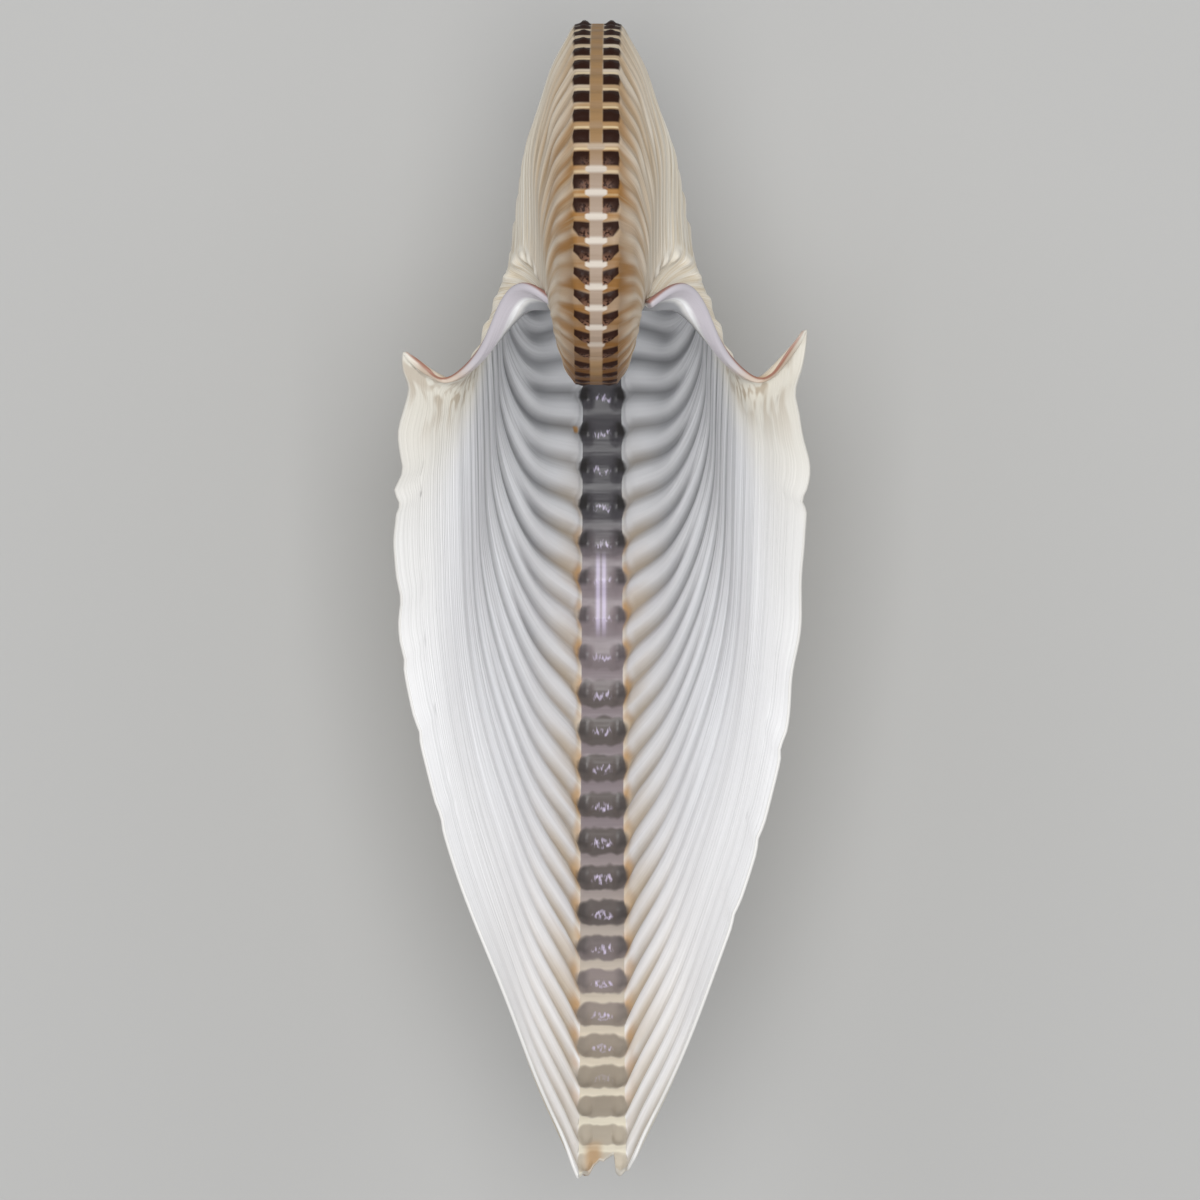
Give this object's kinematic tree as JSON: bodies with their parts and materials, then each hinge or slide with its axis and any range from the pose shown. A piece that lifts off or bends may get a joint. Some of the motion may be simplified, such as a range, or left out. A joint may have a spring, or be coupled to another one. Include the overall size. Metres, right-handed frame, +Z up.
{
  "type": "paper nautilus shell",
  "caption": "Thin ribbed egg case of a paper nautilus, coiled in a flat spiral, with a double row of keel tubercles, an ear on each side of the open mouth and a rolled lip.",
  "frame": {"origin": "centre of the bounding box in plan, at the floor that the keel's tubercles rest on", "axes": "+Z up, out of the mouth; +Y from the chipped end of the keel towards the coil; +X to the side of the higher ear"},
  "size_m": [0.0536, 0.1542, 0.0926],
  "materials": {
    "shell": "glossy porcelain-like calcite, cream outside with brown streaks by the keel, bluish white inside"
  },
  "bodies": {
    "root": {"shell": "shell"}
  },
  "joints": []
}
